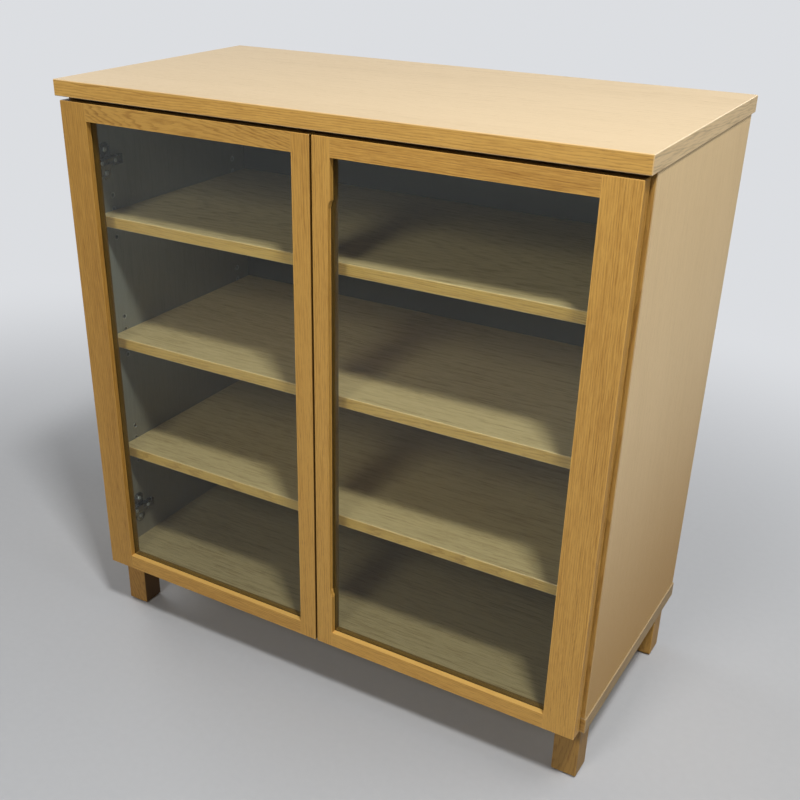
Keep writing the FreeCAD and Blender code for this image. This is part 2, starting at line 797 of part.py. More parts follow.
def door_pieces():
    left = {"outer_stile": outer_stile(), "meeting_stile": meeting_stile(), "top_rail": top_rail(),
            "bottom_rail": bottom_rail(), "glass": glass(), "glass_beads": glass_beads(),
            "bumpers": door_bumpers(), "hinge_cup_screws": cup_screws(),
            "frame_dowels": Part.makeCompound(door_dowel_rods(door_dowel_radius, 0))}
    for place, z in hinge_heights.items():
        left["hinge_cup_" + place] = hinge_cup(z)
    left["hinge_pins"] = Part.makeCompound([hinge_pin(z) for z in hinge_heights.values()])
    pieces = {}
    for name, shape in left.items():
        pieces["door_left_" + name] = shape
        pieces["door_right_" + name] = mirrored(shape)
    pieces["door_right_meeting_stile"] = pieces["door_right_meeting_stile"].cut(finger_pull())
    return pieces


def main():
    os.makedirs("parts", exist_ok=True)
    pieces = carcass_pieces()
    pieces.update(door_pieces())
    for name, shape in sorted(pieces.items()):
        if not shape.isValid():
            raise ValueError(name + " is not a valid shape")
        shape.exportStep("parts/" + name + ".step")
        print(name, len(shape.Solids), "solid(s)", round(shape.Volume))
    print(len(pieces), "nodes")


main()
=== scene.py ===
import itertools
import math
from typing import NamedTuple

import bmesh
import bpy
from bpy.props import FloatProperty, FloatVectorProperty, IntProperty, PointerProperty
from mathutils import Euler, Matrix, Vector


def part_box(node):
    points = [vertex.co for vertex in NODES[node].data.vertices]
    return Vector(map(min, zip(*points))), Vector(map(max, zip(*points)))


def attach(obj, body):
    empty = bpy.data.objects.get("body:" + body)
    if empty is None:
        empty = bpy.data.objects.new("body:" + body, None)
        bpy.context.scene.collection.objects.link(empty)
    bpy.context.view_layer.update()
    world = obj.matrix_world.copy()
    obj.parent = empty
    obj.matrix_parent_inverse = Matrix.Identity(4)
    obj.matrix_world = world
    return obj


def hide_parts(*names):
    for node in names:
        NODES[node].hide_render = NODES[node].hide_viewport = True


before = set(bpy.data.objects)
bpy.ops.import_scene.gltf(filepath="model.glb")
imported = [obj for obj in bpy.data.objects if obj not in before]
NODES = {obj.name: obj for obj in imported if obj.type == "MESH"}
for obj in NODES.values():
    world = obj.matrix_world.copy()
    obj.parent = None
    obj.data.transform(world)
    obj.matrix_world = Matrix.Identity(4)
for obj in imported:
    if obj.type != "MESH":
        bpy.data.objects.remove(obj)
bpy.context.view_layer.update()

bl_info = {
    "name": "Glass-front cabinet",
    "version": (1, 0, 0),
    "blender": (4, 5, 0),
    "location": "3D View > Sidebar > Cabinet",
    "description": "Finishes, glass, hinges and hardware of an oak cabinet with two glass doors",
    "category": "Object",
}

MM = 0.001
SIDES = {"left": -1, "right": 1}
CARCASS = "carcass"
# A face counts as turned along an axis as that part of its direction rises between these
FACE = (0.5, 0.8)
FLAT_FACE = (0.6, 0.9)
# Heights over the floor between which a door's upper faces are its ledge, which gets a painted
# highlight, or its top, which gets painted shade
LIT_LEDGE = (0.13, 0.12)
SHADED_DOOR_TOP = (0.79, 0.8)
# Heights between which painted shade darkens the side panels downwards
PANEL_PAINTED_SHADE = (0.6, 0.06)
# How wide the painted highlight on the arrises is
SOLID_ARRIS = 1.3 * MM
BOARD_ARRIS = 1.6 * MM


# Shader sums
class Wire:
    """One output of a shader node. Sums on it add Math nodes."""

    def __init__(self, finish, socket):
        self.finish = finish
        self.socket = socket

    def sum(self, operation, *terms):
        return self.finish.add("ShaderNodeMath", {"operation": operation}, dict(enumerate(terms)))

    def __add__(self, other):
        return self.sum("ADD", self, other)

    def __sub__(self, other):
        return self.sum("SUBTRACT", self, other)

    def __rsub__(self, other):
        return self.sum("SUBTRACT", other, self)

    def __mul__(self, other):
        return self.sum("MULTIPLY", self, other)

    def __truediv__(self, other):
        return self.sum("DIVIDE", self, other)

    def __pow__(self, other):
        return self.sum("POWER", self, other)

    def __abs__(self):
        return self.sum("ABSOLUTE", self)

    __radd__ = __add__
    __rmul__ = __mul__

    def least(self, other):
        return self.sum("MINIMUM", self, other)

    def most(self, other):
        return self.sum("MAXIMUM", self, other)

    def rise(self, start, end):
        """0 at start and 1 at end, with a smooth step between them."""
        settings = {"interpolation_type": "SMOOTHSTEP"}
        values = {"Value": self, "From Min": start, "From Max": end}
        return self.finish.add("ShaderNodeMapRange", settings, values)


def add_node(tree, kind, settings=None, values=None):
    """Add a node. Its settings are set first, then its sockets get values or links."""
    node = tree.nodes.new(kind)
    for name, value in (settings or {}).items():
        setattr(node, name, value)
    for name, value in (values or {}).items():
        if isinstance(name, int):
            socket = node.inputs[name]
        else:
            socket = in_use(node.inputs, name)
        if isinstance(value, Wire):
            value = value.socket
        if isinstance(value, bpy.types.NodeSocket):
            tree.links.new(value, socket)
        elif socket.type == "RGBA" and len(value) == 3:
            socket.default_value = (*value, 1.0)
        else:
            socket.default_value = value
    return node


def in_use(sockets, name=None):
    """The first socket of a name that the node's settings leave in use."""
    return next(socket for socket in sockets if socket.enabled and name in (None, socket.name))


class Finish:
    """A material or a world whose nodes are added one by one."""

    def __init__(self, name, owner=None):
        self.owner = owner or bpy.data.materials.new(name)
        self.owner.use_nodes = True
        self.tree = self.owner.node_tree
        self.tree.nodes.clear()

    def add(self, kind, settings=None, values=None, out=0):
        """Add a node and give its output, or those that a tuple names."""
        node = add_node(self.tree, kind, settings, values)
        if isinstance(out, tuple):
            return [Wire(self, node.outputs[name]) for name in out]
        return Wire(self, node.outputs[out])

    def blend(self, share, first, second):
        """The first colour, mixed into the second by a share."""
        settings = {"data_type": "RGBA", "clamp_factor": True}
        return self.add("ShaderNodeMix", settings, {0: share, 6: first, 7: second}, out=2)

    def choose(self, share, first, second):
        """The first vector, mixed into the second by a share."""
        settings = {"data_type": "VECTOR", "clamp_factor": True}
        return self.add("ShaderNodeMix", settings, {0: share, 4: first, 5: second}, out=1)

    def mix(self, share, first, second):
        """The first shader, mixed into the second by a share."""
        return self.add("ShaderNodeMixShader", values={0: share, 1: first, 2: second})

    def vector(self, x, y, z):
        return self.add("ShaderNodeCombineXYZ", values={0: x, 1: y, 2: z})

    def parts(self, vector):
        return self.add("ShaderNodeSeparateXYZ", values={0: vector}, out=("X", "Y", "Z"))

    def spot(self):
        """Where the point is on the piece."""
        return self.add("ShaderNodeTexCoord", out="Object")

    def facing(self):
        """The X, Y and Z of the direction that the surface faces."""
        return self.parts(self.add("ShaderNodeTexCoord", out="Normal"))

    def noise(self, spot, scale, shift=(0.0, 0.0, 0.0), detail=2.0, roughness=0.5, out=0):
        """Noise that is stretched by its scale along each axis and moved by a shift."""
        mapped = self.add("ShaderNodeMapping",
                          values={"Vector": spot, "Location": shift, "Scale": scale})
        values = {"Vector": mapped, "Scale": 1.0, "Detail": detail, "Roughness": roughness}
        return self.add("ShaderNodeTexNoise", {"noise_dimensions": "3D"}, values, out)

    def bump(self, height, distance, strength):
        values = {"Height": height, "Distance": distance, "Strength": strength}
        return self.add("ShaderNodeBump", values=values)

    def surface(self, shader):
        kind = "World" if isinstance(self.owner, bpy.types.World) else "Material"
        self.add("ShaderNodeOutput" + kind, values={"Surface": shader}, out=())
        return self.owner

    def principled(self, values):
        return self.surface(self.add("ShaderNodeBsdfPrincipled", values=values))

    def ray(self, *kinds):
        """1 for rays of any of the kinds."""
        first, *others = self.add("ShaderNodeLightPath", out=kinds)
        for other in others:
            first = first.most(other)
        return first


# Settings
def colour_setting(name, description, default):
    return FloatVectorProperty(name=name, description=description, subtype="COLOR",
                               default=default, min=0.0, max=1.0)


def share_setting(name, description, default, least=0.0, most=1.0):
    return FloatProperty(name=name, description=description, subtype="FACTOR", default=default,
                         min=least, max=most)


def length_setting(name, description, default, least, most):
    return FloatProperty(name=name, description=description, subtype="DISTANCE", unit="LENGTH",
                         default=default, min=least, max=most, precision=5)


def power_setting(name, description, default):
    return FloatProperty(name=name, description=description, subtype="POWER", unit="POWER",
                         default=default, min=0.0)


class CabinetWoodSettings(bpy.types.PropertyGroup):
    """Colours and figure of the oak."""

    frame_pale: colour_setting("Frame, pale", "Late wood of the door frames", (0.64, 0.35, 0.074))
    frame_deep: colour_setting("Frame, deep", "Early wood of the door frames", (0.36, 0.16, 0.022))
    veneer_pale: colour_setting("Veneer, pale", "Late wood of the veneered faces",
                                (0.69, 0.515, 0.29))
    veneer_deep: colour_setting("Veneer, deep", "Early wood of the veneered faces",
                                (0.56, 0.40, 0.20))
    shelf_pale: colour_setting("Shelves, pale", "Late wood of the shelves", (0.65, 0.49, 0.25))
    shelf_deep: colour_setting("Shelves, deep", "Early wood of the shelves", (0.36, 0.24, 0.095))
    # Painted shade: the inner faces are made grey and dark, as the shade inside the carcass
    inside: colour_setting("Inside", "Grey-brown inner faces of the side panels and the back",
                           (0.23, 0.225, 0.2))
    pore: colour_setting("Pores", "Open pores of the early wood", (0.17, 0.083, 0.028))
    beech: colour_setting("Pegs", "Raw beech of the pegs", (0.66, 0.46, 0.27))
    ring_spacing: length_setting("Ring spacing", "Width of one year's growth", 2.7 * MM, 0.5 * MM,
                                 10 * MM)
    pore_share: share_setting("Pore strength", "How strongly the pores show", 0.6)
    # Painted highlight: how pale the arrises are made, as where their chamfers catch light
    arris_highlight_share: share_setting("Worn arrises", "How much the corners are rubbed pale", 0.45)
    sheen: share_setting("Roughness", "Roughness of the satin lacquer", 0.42)


class CabinetGlassSettings(bpy.types.PropertyGroup):
    """The two panes."""

    tint: colour_setting("Tint", "Colour of the clear glass", (0.86, 0.91, 0.87))
    index: FloatProperty(
        name="Refractive index", description="How strongly the glass bends and reflects light",
        default=1.45, min=1.0, max=2.0)


class CabinetHardwareSettings(bpy.types.PropertyGroup):
    """Hinges, screws, shelf pins, sleeves, bumpers and glides."""

    nickel: colour_setting("Nickel", "Plated hinge parts", (0.34, 0.345, 0.36))
    steel: colour_setting("Steel", "Screws, pins and sleeves", (0.56, 0.56, 0.55))
    bumper: colour_setting("Bumpers", "Soft clear dots", (0.72, 0.72, 0.69))
    glide: colour_setting("Glides", "Plastic under the legs", (0.17, 0.13, 0.10))
    recess_share: share_setting("Cross recess", "Width of a screw's recess as a share of its head",
                                0.2, 0.05, 0.4)
    flange_radius: length_setting("Sleeve flange radius", "Radius of the flange of a pin's sleeve",
                                  4.3 * MM, 3.7 * MM, 6 * MM)
    softening: length_setting("Pressed edge radius", "Radius of the pressed hinge parts' edges",
                              0.3 * MM, 0.05 * MM, 1 * MM)
    seed: IntProperty(name="Seed", description="Seed of the angle at which each screw was left",
                      default=11, min=0)


class CabinetStageSettings(bpy.types.PropertyGroup):
    """Floor, background, lamps and camera."""

    floor: colour_setting("Floor", "Colour of the floor", (0.49, 0.50, 0.515))
    background: colour_setting("Background", "Colour behind the cabinet", (0.715, 0.73, 0.757))
    ambient: FloatProperty(
        name="Room light", description="Strength of the even light from all round", default=0.07,
        min=0.0)
    key_power: power_setting("Key lamp", "Power of the lamp high above the right front", 56.0)
    ceiling_power: power_setting("Ceiling lamp", "Power of the very large lamp overhead", 2.0)
    side_power: power_setting("Side lamp", "Power of the large lamp at the right", 16.0)
    front_power: power_setting("Front lamp", "Power of the soft lamp straight ahead", 26.0)
    left_power: power_setting("Left lamp", "Power of the large lamp at the left", 15.0)
    rear_power: power_setting("Rear lamp", "Power of the faint lamp behind", 6.0)
    lens: FloatProperty(
        name="Focal length", description="Focal length in millimetres on a 36 mm sensor",
        default=49.15, min=10.0, subtype="DISTANCE_CAMERA", unit="CAMERA")


# Meshes
def give(name, finish):
    """Put a finish on a part of the frame."""
    for slot in NODES[name].material_slots:
        slot.material = finish


def loose_solids(name):
    """The lowest and highest corner of each separate solid in a part of the frame."""
    copy = bmesh.new()
    copy.from_mesh(NODES[name].data)
    bmesh.ops.remove_doubles(copy, verts=copy.verts, dist=0.01 * MM)
    left = set(copy.verts)
    corners = []
    while left:
        reached = [left.pop()]
        solid = []
        while reached:
            vertex = reached.pop()
            solid.append(vertex.co.copy())
            for edge in vertex.link_edges:
                other = edge.other_vert(vertex)
                if other in left:
                    left.remove(other)
                    reached.append(other)
        corners.append((Vector(map(min, *solid)), Vector(map(max, *solid))))
    copy.free()
    return sorted(corners, key=lambda pair: tuple(pair[0]))


def free_ends(name, facing=None):
    """The middle of each solid's free end and the direction that it faces. Without a direction,
    the solids face inwards from the side panels."""
    ends = []
    for low, high in loose_solids(name):
        middle = (low + high) / 2
        way = Vector(facing or (-math.copysign(1, middle.x), 0, 0))
        half = (high - low) / 2
        reach = sum(abs(part * size) for part, size in zip(way, half))
        ends.append((middle + way * reach, way))
    return ends


def ring(shape, reaches, height):
    """Points about Z, each at its own reach from it, or one point where they all reach nowhere."""
    if not any(reaches):
        return [shape.verts.new((0, 0, height))]
    turns = [2 * math.pi * side / len(reaches) for side in range(len(reaches))]
    return [shape.verts.new((reach * math.cos(turn), reach * math.sin(turn), height))
            for reach, turn in zip(reaches, turns)]


def quarter_turn(steps):
    """The angles of a quarter turn, in even steps."""
    return [math.radians(90) * step / steps for step in range(steps + 1)]


def turned(profile, sides):
    """A round shape about Z from the radius and height of each ring in millimetres, top first."""
    shape = bmesh.new()
    skin(shape, [ring(shape, [radius * MM] * sides, height * MM) for radius, height in profile])
    return shape


def skin(shape, rings):
    """Faces between rings of points, each of one point or of the same number."""
    for upper, lower in zip(rings, rings[1:]):
        count = max(len(upper), len(lower))
        for side in range(count):
            after = (side + 1) % count
            corners = [upper[side % len(upper)], lower[side % len(lower)]]
            if len(lower) > 1:
                corners.append(lower[after])
            if len(upper) > 1:
                corners.append(upper[after])
            shape.faces.new(corners)


def in_scene(name, data):
    """A new object of a mesh, a lamp or a camera."""
    made = bpy.data.objects.new(name, data)
    bpy.context.scene.collection.objects.link(made)
    return made


def to_object(shape, name, sharp_angle=35):
    """An object from a bmesh, smooth but for its sharp edges."""
    bmesh.ops.recalc_face_normals(shape, faces=shape.faces)
    mesh = bpy.data.meshes.new(name)
    shape.to_mesh(mesh)
    shape.free()
    mesh.shade_smooth()
    mesh.set_sharp_from_angle(angle=math.radians(sharp_angle))
    return in_scene(name, mesh)


def settle(made):
    """Apply an object's modifiers to its mesh."""
    graph = bpy.context.evaluated_depsgraph_get()
    mesh = bpy.data.meshes.new_from_object(made.evaluated_get(graph))
    made.modifiers.clear()
    made.data = mesh
    return made


def discard(made):
    bpy.data.objects.remove(made, do_unlink=True)


def seat(piece, body, slot, *nodes):
    """Let a piece ride on a body in place of parts of the frame."""
    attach(piece, body)
    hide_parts(*nodes)


# Small parts on their places
def places_tree():
    """A node tree that sets one part on each point, turned to the point's direction."""
    tree = bpy.data.node_groups.new("Parts on places", "GeometryNodeTree")
    ports = {"Places": "Geometry", "Part": "Object", "Size": "Vector", "Seed": "Int",
             "Finish": "Material"}
    for name, kind in ports.items():
        tree.interface.new_socket(name, in_out="INPUT", socket_type="NodeSocket" + kind)
    tree.interface.new_socket("Parts", in_out="OUTPUT", socket_type="NodeSocketGeometry")

    def add(kind, settings=None, values=None):
        return add_node(tree, kind, settings, values)

    given = add("NodeGroupInput")
    facing = add("GeometryNodeInputNamedAttribute", {"data_type": "FLOAT_VECTOR"},
                 {"Name": "facing"})
    turn = add("FunctionNodeAlignRotationToVector", {"axis": "Z"},
               {"Vector": in_use(facing.outputs)})
    angle = add("FunctionNodeRandomValue", {"data_type": "FLOAT"},
                {"Max": 2 * math.pi, "Seed": given.outputs["Seed"]})
    spin = add("FunctionNodeAxisAngleToRotation", None,
               {"Axis": (0, 0, 1), "Angle": in_use(angle.outputs)})
    both = add("FunctionNodeRotateRotation", {"rotation_space": "LOCAL"},
               {"Rotation": in_use(turn.outputs), "Rotate By": in_use(spin.outputs)})
    part = add("GeometryNodeObjectInfo", None,
               {"Object": given.outputs["Part"], "As Instance": True})
    placed = add("GeometryNodeInstanceOnPoints", None,
                 {"Points": given.outputs["Places"], "Instance": part.outputs["Geometry"],
                  "Rotation": in_use(both.outputs), "Scale": given.outputs["Size"]})
    real = add("GeometryNodeRealizeInstances", None, {"Geometry": in_use(placed.outputs)})
    finished = add("GeometryNodeSetMaterial", None,
                   {"Geometry": in_use(real.outputs), "Material": given.outputs["Finish"]})
    add("NodeGroupOutput", None, {"Parts": in_use(finished.outputs)})
    return tree


def set_out(name, part, node, facing, finish, seed, body, slot):
    """Set a part on every free end of a node of the frame, as one piece that rides on a body."""
    ends = free_ends(node, facing)
    mesh = bpy.data.meshes.new(name)
    mesh.from_pydata([end for end, way in ends], [], [])
    facings = mesh.attributes.new("facing", "FLOAT_VECTOR", "POINT")
    for place, (end, way) in enumerate(ends):
        facings.data[place].vector = way
    holder = in_scene(name, mesh)
    modifier = holder.modifiers.new("Places", "NODES")
    modifier.node_group = bpy.data.node_groups.get("Parts on places") or places_tree()
    values = {"Part": part, "Size": (1.0, 1.0, 1.0), "Seed": seed, "Finish": finish}
    for port in modifier.node_group.interface.items_tree:
        if port.in_out == "INPUT" and port.name in values:
            modifier[port.identifier] = values[port.name]
    seat(settle(holder), body, slot, node)


# Wood
class Grain(NamedTuple):
    """How one piece was cut: its grain's axis, the pith's place and lean, and its tone."""

    axes: str
    pith: tuple
    lean: tuple = (0.0, 0.0)
    wander: float = 3 * MM
    seed: float = 0.0
    rings: float = 0.6
    tone: float = 1.0
    warmth: float = 1.0


class Figure(NamedTuple):
    """What shows in a piece of oak, each from 0 to 1. The drift is a slow change of tone."""

    early: Wire
    streaks: Wire
    fibres: Wire
    pores: Wire
    drift: Wire

    def depth(self, early, streaks, fibres, drift):
        """How deep the colour is, with each kind of mark at its own strength."""
        return (self.early * early + (self.streaks - 0.5) * streaks
                + (self.fibres - 0.5) * fibres + (self.drift - 0.4) * drift)


def toned(colour, tone, warmth=1.0):
    """A colour made lighter or darker, and warmer by less blue and a little less green."""
    strengths = (tone, tone / warmth ** 0.3, tone / warmth)
    return tuple(min(part * strength, 1.0) for part, strength in zip(colour, strengths))


def two_toned(finish, depth, pale, deep, tone, warmth=1.0):
    """A pale colour that turns into a deep one with the depth, both toned."""
    return finish.blend(depth, toned(pale, tone, warmth), toned(deep, tone, warmth))


def along_grain(finish, axes):
    """The place on the piece as along, across and through the grain."""
    by_name = dict(zip("XYZ", finish.parts(finish.spot())))
    return finish.vector(*(by_name[axis] for axis in axes))


def figure(finish, wood, spot, grain):
    """The figure of a piece of oak that was cut so, at a place along its grain."""
    seed = grain.seed
    run, across, through = finish.parts(spot)
    drift = finish.noise(spot, (1.7, 11.0, 11.0), (seed, seed * 1.3, seed * 0.7), detail=1.0,
                         out="Color")
    drift_across, drift_through, drift_tone = finish.parts(drift)
    wander = 4 * grain.wander
    side = across + run * grain.lean[0] + (drift_across - 0.5) * wander - grain.pith[0]
    deep = through + run * grain.lean[1] + (drift_through - 0.5) * wander - grain.pith[1]
    ripple = finish.noise(spot, (20.0, 150.0, 150.0), (seed * 2.1, seed, 0.0), roughness=0.6)
    years = (side * side + deep * deep) ** 0.5 / wood.ring_spacing + (ripple - 0.5) * 1.8
    phase = years.sum("FRACT", years)
    year = finish.add("ShaderNodeTexWhiteNoise", {"noise_dimensions": "1D"},
                      {"W": years.sum("FLOOR", years) + seed})
    early = (phase.rise(0.55, 0.05) + phase.rise(0.9, 1.0)).least(1.0) * (year * 0.6 + 0.4)
    streaks = finish.noise(spot, (14.0, 260.0, 260.0), (seed, 0.0, seed), 3.0, 0.7)
    fibres = finish.noise(spot, (45.0, 800.0, 800.0), (0.0, seed, 0.0), 3.0, 0.7)
    holes = finish.noise(spot, (110.0, 3300.0, 3300.0), (0.0, 0.0, seed), detail=1.0)
    pores = holes.rise(0.56, 0.7) * (early * 0.8 + 0.2)
    return Figure(early, streaks, fibres, pores, drift_tone)


def box_distances(finish, node):
    """How far a place is from the nearer side of a part's box, along each axis."""
    return [(far - near) / 2 - abs(part - (near + far) / 2)
            for part, near, far in zip(finish.parts(finish.spot()), *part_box(node))]


def arris_highlight_mask(finish, node, width):
    """1 on the edges of a part's box, 0 at a width from them."""
    first, second, third = box_distances(finish, node)
    middle = first.least(second).most(first.most(second).least(third))
    return middle.rise(width, width * 0.4)


def wood_surface(finish, wood, colour, oak, arris_highlight):
    """The lacquered surface over a coloured figure."""
    height = oak.streaks * 0.15 + oak.fibres * 0.2 - oak.early * 0.15 - oak.pores
    roughness = oak.pores * 0.22 + (oak.fibres - 0.5) * 0.12 + (wood.sheen - arris_highlight * 0.04)
    return finish.principled({
        "Base Color": colour, "Roughness": roughness, "IOR": 1.45, "Coat Weight": 0.12,
        "Coat Roughness": 0.3, "Normal": finish.bump(height, 0.12 * MM, 0.5)})


def solid_oak(wood, grain, node, seam=0, right_face_shade=0.0):
    """Oak of a stile, rail or leg. A door's upper faces get painted shade at its top, in the gap
    under the top board, and a painted highlight low down on its ledge. The edge where the doors
    meet, which faces along X with the seam's sign, gets painted shade too. The right face shade is
    how strongly painted shade darkens the face to the right."""
    finish = Finish("Oak of " + node)
    oak = figure(finish, wood, along_grain(finish, grain.axes), grain)
    low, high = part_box(node)
    x, _, z = finish.parts(finish.spot())
    facing_x, _, facing_z = finish.facing()
    depth = oak.depth(early=grain.rings * 0.8, streaks=1.1, fibres=1.6, drift=0.9)
    colour = two_toned(finish, depth, wood.frame_pale, wood.frame_deep, grain.tone, grain.warmth)
    colour = finish.blend(oak.pores * wood.pore_share, colour, toned(wood.pore, grain.tone))
    # Painted highlight: the arrises are made paler, as where their chamfers catch light
    arris_highlight = arris_highlight_mask(finish, node, SOLID_ARRIS) * wood.arris_highlight_share
    colour = finish.blend(arris_highlight, colour, toned(wood.frame_pale, grain.tone * 1.25, 0.9))
    # Painted shade: the face to the right is darkened, as in the shade under the cabinet
    if right_face_shade:
        shaded = facing_x.rise(*FLAT_FACE) * right_face_shade
        colour = finish.blend(shaded, colour, toned(wood.pore, 0.4))
    if node.startswith("door"):
        upward = facing_z.rise(*FLAT_FACE)
        # Painted highlight: the ledge low on the door is made paler, as lit from above
        lit_ledge = upward * z.rise(*LIT_LEDGE)
        colour = finish.blend(lit_ledge * 0.7, colour, toned(wood.frame_pale, grain.tone * 1.3, 0.7))
        # Painted shade: the door's top, in the gap under the top board, and the edge where the
        # doors meet are made dark
        painted_shade = upward * z.rise(*SHADED_DOOR_TOP)
        if seam:
            outer = max(low.x * seam, high.x * seam)
            seam_shade = (x * seam).rise(outer - 8 * MM, outer - 7 * MM)
            painted_shade = painted_shade.most((facing_x * seam).rise(*FLAT_FACE) * seam_shade)
        colour = finish.blend(painted_shade * 0.9, colour, toned(wood.frame_deep, 0.3))
    if node.endswith("rail"):
        from_end = (high.x - low.x) / 2 - abs(x - (low.x + high.x) / 2)
        colour = finish.blend(from_end.rise(0.5 * MM, 0.2 * MM) * 0.6, colour, wood.pore)
    return wood_surface(finish, wood, colour, oak, arris_highlight)


def veneered_board(name, wood, node, face, grain, edge_tone, end_axes=None, inside=None):
    """A veneered board with a soft figure on its faces and stronger bands on its ends and edges.
    The inside is the inner face's direction along its axis, 1 or -1, and the pale and the deep
    colour of the painted shade that darkens that face, as inside the carcass."""
    finish = Finish(name)
    spot = along_grain(finish, grain.axes)
    facing = dict(zip("XYZ", finish.facing()))
    if end_axes:
        on_end = abs(facing[grain.axes[0]]).rise(*FACE)
        spot = finish.choose(on_end, spot, along_grain(finish, end_axes))
    oak = figure(finish, wood, spot, grain)
    pale, deep, lively, band_warmth = wood.veneer_pale, wood.veneer_deep, 0.9, 0.88
    if node.startswith("shelf"):
        pale, deep, lively, band_warmth = wood.shelf_pale, wood.shelf_deep, 2.3, 0.72
    depth = oak.depth(grain.rings, lively, lively, drift=0.6)
    colour = two_toned(finish, depth, pale, deep, grain.tone, grain.warmth)
    colour = finish.blend(oak.pores * (wood.pore_share * 0.35), colour, wood.pore)
    # Painted shade: the inner face is made darker and greyer, as inside the carcass
    if inside:
        way, shade_pale, shade_deep = inside
        rich = lively + 1.4
        inner_shade = finish.blend(oak.depth(grain.rings, rich, rich, drift=0.6), shade_pale, shade_deep)
        colour = finish.blend((facing[face] * way).rise(*FACE), colour, inner_shade)
    if face == "Z":
        tone, warmth = (1.2, 1.0) if node == "top_board" else (0.56, 1.6)
        ends = finish.blend(oak.depth(early=0.5, streaks=2.5, fibres=1.0, drift=0.5),
                            toned(wood.veneer_pale, tone * 1.1, warmth),
                            toned(wood.veneer_deep, tone * 0.75, warmth))
        colour = finish.blend(abs(facing["X"]).rise(*FACE) * 0.9, colour, ends)
    # Painted shade: the side panels darken towards the floor, the outer face to a deeper golden
    # tone and the inner face deeper still
    if face == "X":
        outward = (facing["X"] * -way).rise(*FACE)
        lower = finish.parts(finish.spot())[2].rise(*PANEL_PAINTED_SHADE)
        colour = finish.blend(lower * outward * 0.95, colour, toned(wood.frame_pale, 0.84))
        colour = finish.blend(lower * (1 - outward) * 0.6, colour, toned(wood.veneer_deep, 0.3))
    if face != "Y":
        depth = oak.depth(early=0.5, streaks=1.3, fibres=1.0, drift=0.5)
        band = two_toned(finish, depth, wood.frame_pale, wood.frame_deep, edge_tone, band_warmth)
        band = finish.blend(oak.pores * wood.pore_share, band, wood.pore)
        colour = finish.blend(abs(facing["Y"]).rise(*FACE), colour, band)
    # Painted shade: the top board's underside is made dark, as the shadow in the gap over the doors
    if node == "top_board":
        under = (facing["Z"] * -1).rise(*FACE) * 0.85
        colour = finish.blend(under, colour, toned(wood.pore, 0.6))
    # Painted highlight: the arrises are made paler, as where their chamfers catch light
    arris_highlight = arris_highlight_mask(finish, node, BOARD_ARRIS) * wood.arris_highlight_share
    colour = finish.blend(arris_highlight, colour, toned(wood.veneer_pale, edge_tone * 1.05))
    return wood_surface(finish, wood, colour, oak, arris_highlight)


class CabinetOperator:
    """What every operator of the cabinet shares."""

    bl_options = {"REGISTER", "UNDO"}

    def execute(self, context):
        self.build(context.scene)
        return {"FINISHED"}


class CABINET_OT_boards(CabinetOperator, bpy.types.Operator):
    """Finish the top board and the bottom board"""

    bl_idname = "cabinet.boards"
    bl_label = "Top and bottom boards"

    def build(self, scene):
        wood = scene.cabinet_wood
        top = Grain("XYZ", (0.31, -0.12), (0.05, 0.02), 5 * MM, 3.1, rings=0.35, tone=0.95)
        give("top_board", veneered_board("Top board oak", wood, "top_board", "Z", top, 1.06, "YZX"))
        low = Grain("XYZ", (0.4, 0.2), (0.04, -0.02), 4 * MM, 8.4, rings=0.4, tone=0.95)
        # Painted shade: the bottom board's inner face is toned darker, as the shade in the lowest
        # compartment
        inside = (1, toned(wood.shelf_pale, 0.6), toned(wood.shelf_deep, 0.6))
        give("bottom_board", veneered_board("Bottom board oak", wood, "bottom_board", "Z", low,
                                            0.72, "YZX", inside))


class CABINET_OT_side_panels(CabinetOperator, bpy.types.Operator):
    """Finish the two side panels"""

    bl_idname = "cabinet.side_panels"
    bl_label = "Side panels"

    def build(self, scene):
        wood = scene.cabinet_wood
        for place, (side, sign) in enumerate(SIDES.items()):
            node = "side_panel_" + side
            # Painted shade: the inner face is made greyer and darker, as inside the carcass
            inside = (-sign, toned(wood.inside, 1.15), toned(wood.inside, 0.9))
            grain = Grain("ZYX", (0.5 + 0.2 * place, sign * 0.3), (0.03, 0.02), 4 * MM,
                          12.7 + 5 * place, rings=0.4, tone=1.4, warmth=1.04)
            give(node, veneered_board("Side panel oak " + side, wood, node, "X", grain, 0.78,
                                      inside=inside))


class CABINET_OT_back_panel(CabinetOperator, bpy.types.Operator):
    """Finish the thin back panel"""

    bl_idname = "cabinet.back_panel"
    bl_label = "Back panel"

    def build(self, scene):
        wood = scene.cabinet_wood
        grain = Grain("ZXY", (0.8, 0.35), (0.02, 0.01), 5 * MM, 21.3, rings=0.4, tone=0.85)
        # Painted shade: the back's inner face is made very dark, as the shade inside the carcass
        inside = (-1, toned(wood.inside, 0.4), toned(wood.inside, 0.3))
        give("back_panel", veneered_board("Back panel oak", wood, "back_panel", "Y", grain, 0.75,
                                          inside=inside))


class CABINET_OT_shelves(CabinetOperator, bpy.types.Operator):
    """Finish the three shelves"""

    bl_idname = "cabinet.shelves"
    bl_label = "Shelves"

    def build(self, scene):
        # Painted shade: the lower shelves are toned a little darker, as less light reaches the
        # lower compartments
        for place, name in enumerate(("shelf_lower", "shelf_middle", "shelf_upper")):
            grain = Grain("XYZ", (0.35 - 0.2 * place, 0.25), (0.05, 0.02 * place), 5 * MM,
                          31.0 + 4.3 * place, rings=0.45, tone=0.92 + 0.05 * place)
            give(name, veneered_board("Oak of " + name, scene.cabinet_wood, name, "Z", grain, 1.15))


